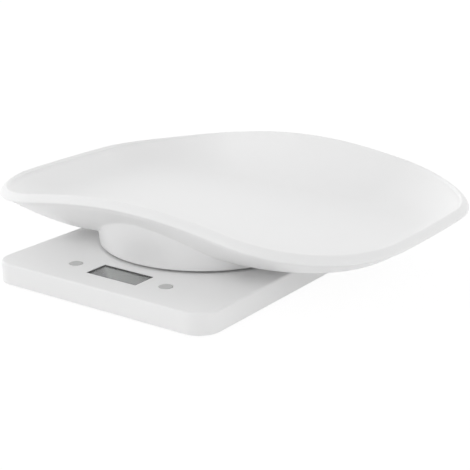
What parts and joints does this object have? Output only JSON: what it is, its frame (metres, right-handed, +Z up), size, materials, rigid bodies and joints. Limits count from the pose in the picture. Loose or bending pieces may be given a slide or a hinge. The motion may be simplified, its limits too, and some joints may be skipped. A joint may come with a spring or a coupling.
{
  "type": "digital kitchen scale",
  "caption": "Flat digital kitchen scale with a display and round keys in its casing, and a lift-off saddle-shaped weighing tray on a round pedestal over a bar load cell.",
  "frame": {"origin": "on the table, under the middle of the scale's bounding box", "axes": "+X to the user's right along the tray's length, +Y away from the user, +Z up"},
  "size_m": [0.2744, 0.2291, 0.0525],
  "materials": {
    "casing_plastic": "white moulded plastic, fine satin",
    "underside_plastic": "white moulded plastic, matte",
    "tray_plastic": "white moulded plastic, soft gloss",
    "foot_rubber": "grey rubber",
    "screw_steel": "zinc-plated steel",
    "cell_aluminium": "machined",
    "gauge_film": "amber film under clear sealant",
    "board_laminate": "green solder mask",
    "black_plastic": "black moulded",
    "holder_plastic": "dark grey moulded",
    "window_clear": "clear, polished",
    "lcd_glass": "grey reflective LCD, blank",
    "strip_rubber": "silicone",
    "key_plastic": "light grey satin",
    "switch_steel": "stamped plate",
    "battery_can": "plain dark sleeve",
    "contact_nickel": "nickel-plated spring steel",
    "plug_plastic": "ivory moulded",
    "wire_white": "insulation",
    "wire_black": "insulation",
    "wire_red": "insulation"
  },
  "bodies": {
    "base": {"base_top_cover": "casing_plastic", "base_bottom_cover": "underside_plastic", "rubber_feet": "foot_rubber", "casing_screws": "screw_steel", "load_cell": "cell_aluminium", "load_cell_spacer": "cell_aluminium", "load_cell_screws": "screw_steel", "strain_gauges": "gauge_film", "main_board": "board_laminate", "board_screws": "screw_steel", "controller_chip": "black_plastic", "capacitor": "black_plastic", "lcd_holder": "holder_plastic", "display_window": "window_clear", "lcd_panel": "lcd_glass", "contact_strip": "strip_rubber", "tact_switches": "switch_steel", "batteries": "battery_can", "bridge_contact": "contact_nickel", "negative_contact": "contact_nickel", "positive_contact": "contact_nickel", "cell_connector": "plug_plastic", "battery_connector": "plug_plastic", "cell_wires": "wire_white", "negative_wire": "wire_black", "positive_wire": "wire_red"},
    "platform": {"platform": "underside_plastic", "platform_screws": "screw_steel"},
    "tray": {"tray": "tray_plastic"},
    "unit_key": {"unit_button": "key_plastic", "unit_switch_plunger": "black_plastic"},
    "power_key": {"power_button": "key_plastic", "power_switch_plunger": "black_plastic"},
    "battery_door": {"battery_door": "underside_plastic"}
  },
  "joints": [
    {"name": "platform_deflection", "type": "slide", "parent": "base", "child": "platform", "axis": [0, 0, 1], "range_m": [-0.0005, 0], "stiffness_N_per_m": 25000, "springref_m": 0.0002, "deforming": ["load_cell"]},
    {"name": "tray_lift", "type": "slide", "parent": "platform", "child": "tray", "axis": [0, 0, 1], "range_m": [0, 0.06]},
    {"name": "unit_key_press", "type": "slide", "parent": "base", "child": "unit_key", "axis": [0, 0, 1], "range_m": [-0.0005, 0], "stiffness_N_per_m": 3000, "springref_m": 0.0002},
    {"name": "power_key_press", "type": "slide", "parent": "base", "child": "power_key", "axis": [0, 0, 1], "range_m": [-0.0005, 0], "stiffness_N_per_m": 3000, "springref_m": 0.0002},
    {"name": "battery_door_hinge", "type": "hinge", "parent": "base", "child": "battery_door", "pos_m": [0, -0.00455, 0.0012], "axis": [-1, 0, 0], "range_deg": [0, 75]}
  ]
}
